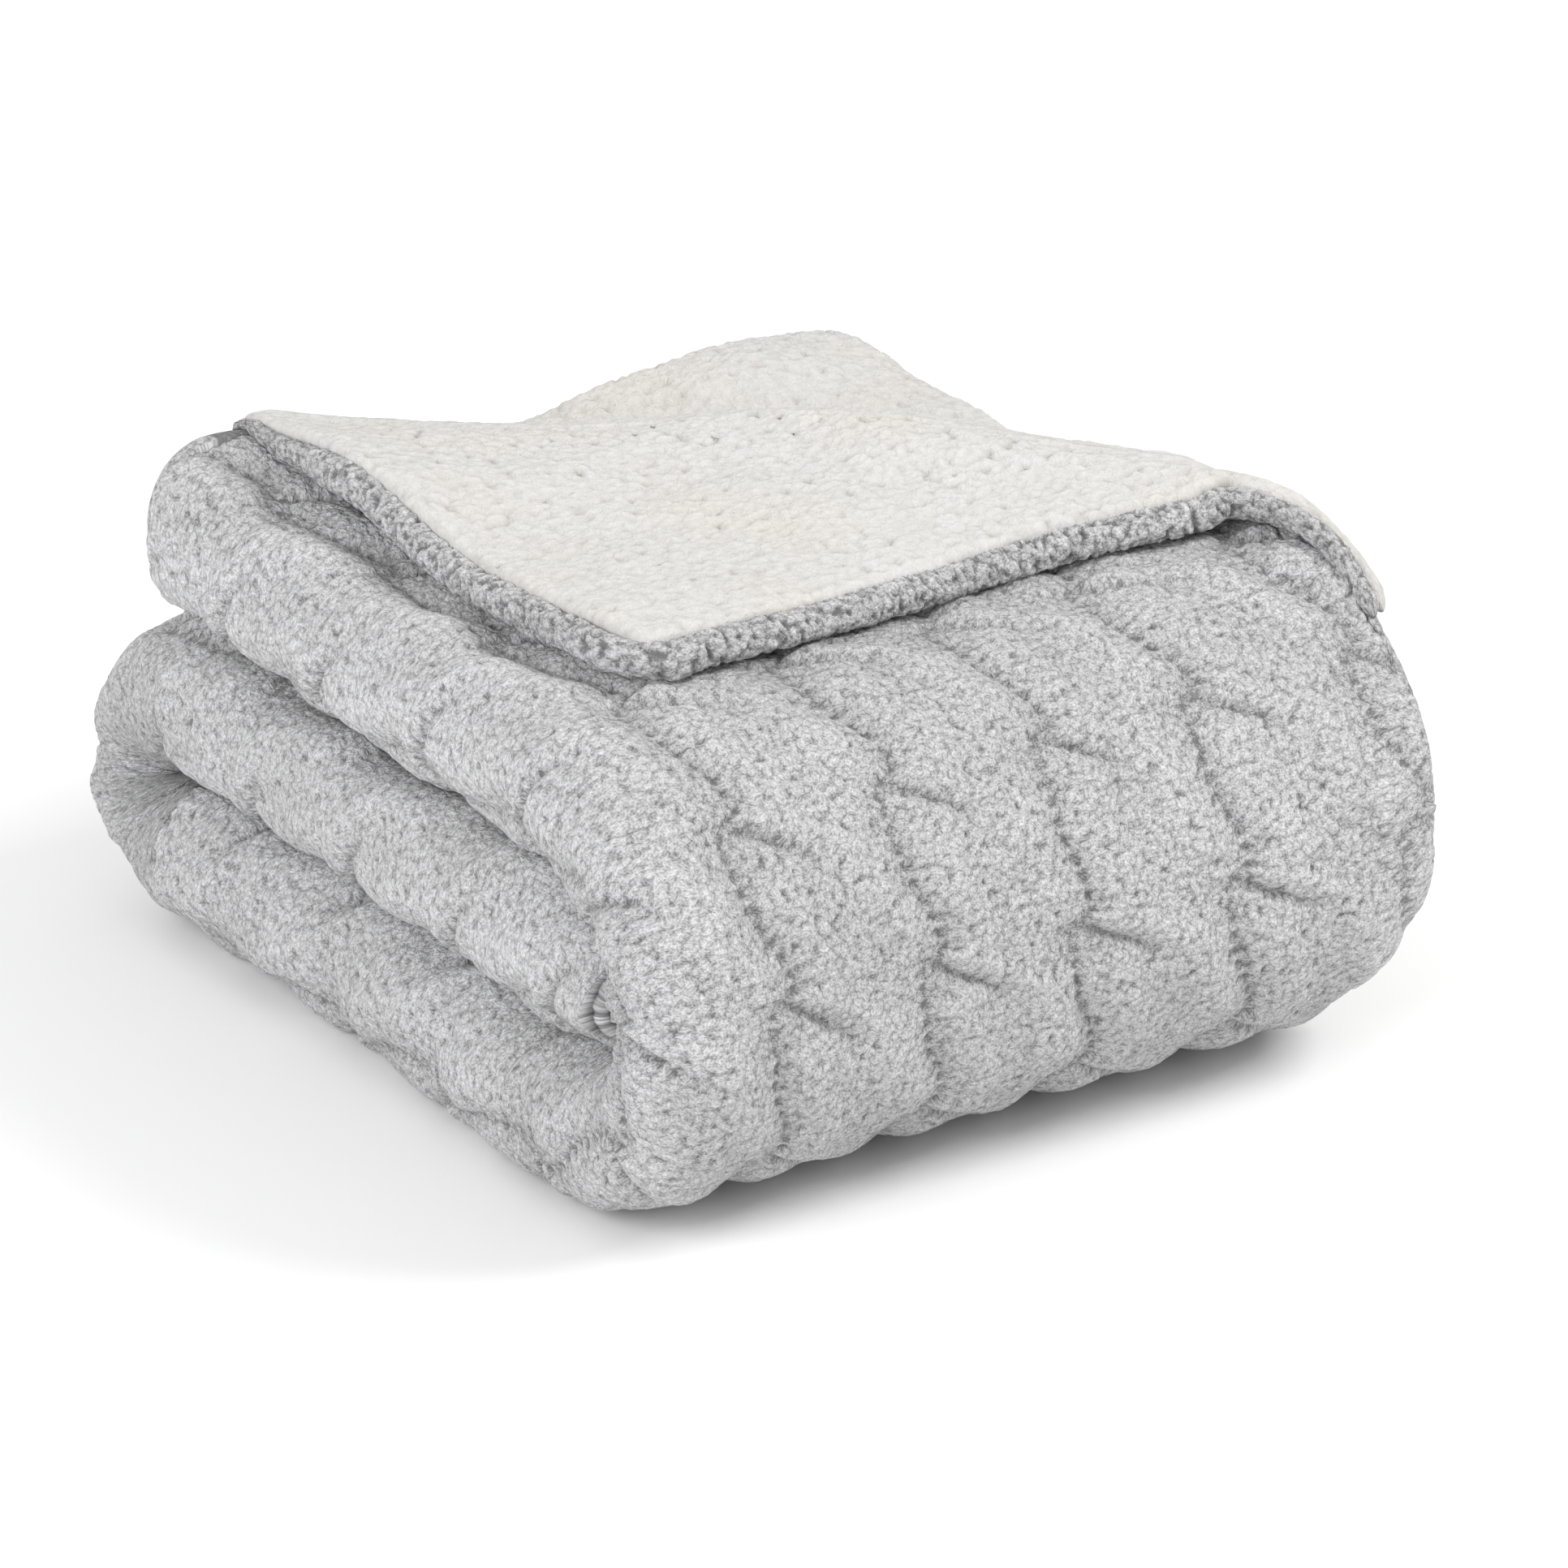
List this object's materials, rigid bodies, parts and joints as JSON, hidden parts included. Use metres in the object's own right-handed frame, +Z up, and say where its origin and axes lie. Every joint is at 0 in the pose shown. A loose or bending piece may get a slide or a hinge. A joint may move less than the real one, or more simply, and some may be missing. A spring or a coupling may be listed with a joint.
{
  "type": "folded throw blanket",
  "caption": "Reversible throw blanket with a knitted face and a sherpa back, folded into a soft block with one corner turned back.",
  "frame": {"origin": "middle of the bottom of the folded block, on the surface that it rests on", "axes": "+X towards the side with the open hems, -Y towards the smooth front wrap, +Z up"},
  "size_m": [0.396, 0.4778, 0.2444],
  "materials": {
    "knit": "matte",
    "sherpa": "matte",
    "hem": "matte",
    "label": "satin"
  },
  "bodies": {
    "folded_base": {"front_wrap_knit": "knit", "front_wrap_sherpa": "sherpa", "front_wrap_outer_hem": "hem", "front_wrap_inner_hem": "hem", "bottom_panel_knit": "knit", "bottom_panel_sherpa": "sherpa", "bottom_panel_outer_hem": "hem", "bottom_panel_inner_hem": "hem", "back_fold_knit": "knit", "back_fold_sherpa": "sherpa", "back_fold_outer_hem": "hem", "back_fold_inner_hem": "hem", "middle_panel_knit": "knit", "middle_panel_sherpa": "sherpa", "middle_panel_outer_hem": "hem", "middle_panel_inner_hem": "hem", "middle_panel_end_hem": "hem", "care_label": "label"},
    "top_panel": {"top_panel_knit": "knit", "top_panel_sherpa": "sherpa", "top_panel_outer_hem": "hem", "top_panel_inner_hem": "hem", "top_panel_end_hem": "hem"},
    "corner_flap": {"corner_flap_knit": "knit", "corner_flap_sherpa": "sherpa", "corner_flap_end_hem": "hem", "corner_flap_side_hem": "hem"}
  },
  "joints": [
    {"name": "top_panel_lift", "type": "hinge", "parent": "folded_base", "child": "top_panel", "pos_m": [0, -0.1737, 0.21775], "axis": [1, 0, 0], "range_deg": [0, 60]},
    {"name": "corner_flap_turn", "type": "hinge", "parent": "top_panel", "child": "corner_flap", "pos_m": [0.0254, 0.037, 0.2258], "axis": [-0.7547, 0.6561, 0], "range_deg": [0, 170]}
  ]
}
